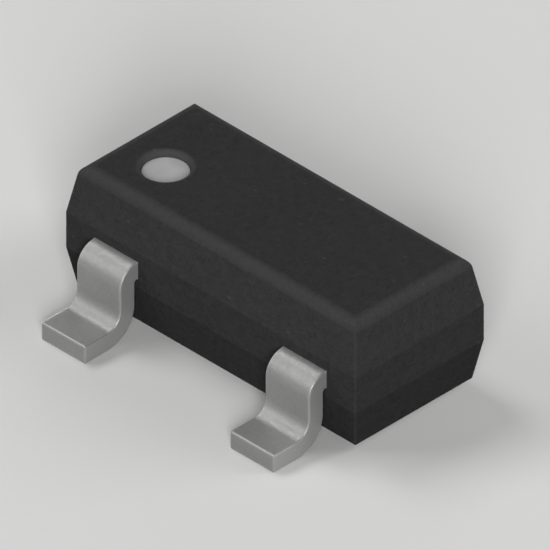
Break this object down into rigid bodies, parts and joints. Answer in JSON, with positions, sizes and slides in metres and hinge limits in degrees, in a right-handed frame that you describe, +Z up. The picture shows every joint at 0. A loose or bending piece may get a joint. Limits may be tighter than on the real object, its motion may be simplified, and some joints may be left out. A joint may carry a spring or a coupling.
{
  "type": "sot-23 transistor",
  "caption": "Small surface-mount transistor: a black moulded body with drafted sides and a round pin mark, on gull-wing leads that solder flat to a circuit board.",
  "frame": {"origin": "on the board plane under the feet, below the middle of the body", "axes": "+X along the lead rows from pin 1 to pin 2, +Y across the body towards pin 3, +Z up from the board"},
  "size_m": [0.003, 0.0024, 0.0011],
  "materials": {
    "epoxy": "filled black epoxy, fine moulded matte grain",
    "tin": "matte tin plate over the lead-frame alloy",
    "attach": "cured conductive adhesive, dull grey",
    "silicon": "polished silicon, opaque",
    "gold": "drawn gold wire",
    "ink": "pale grey marking ink"
  },
  "bodies": {
    "root": {"mould_body": "epoxy", "base_lead": "tin", "emitter_lead": "tin", "collector_lead": "tin", "die_attach": "attach", "transistor_die": "silicon", "base_wire": "gold", "emitter_wire": "gold", "pin_one_mark": "ink"}
  },
  "joints": []
}
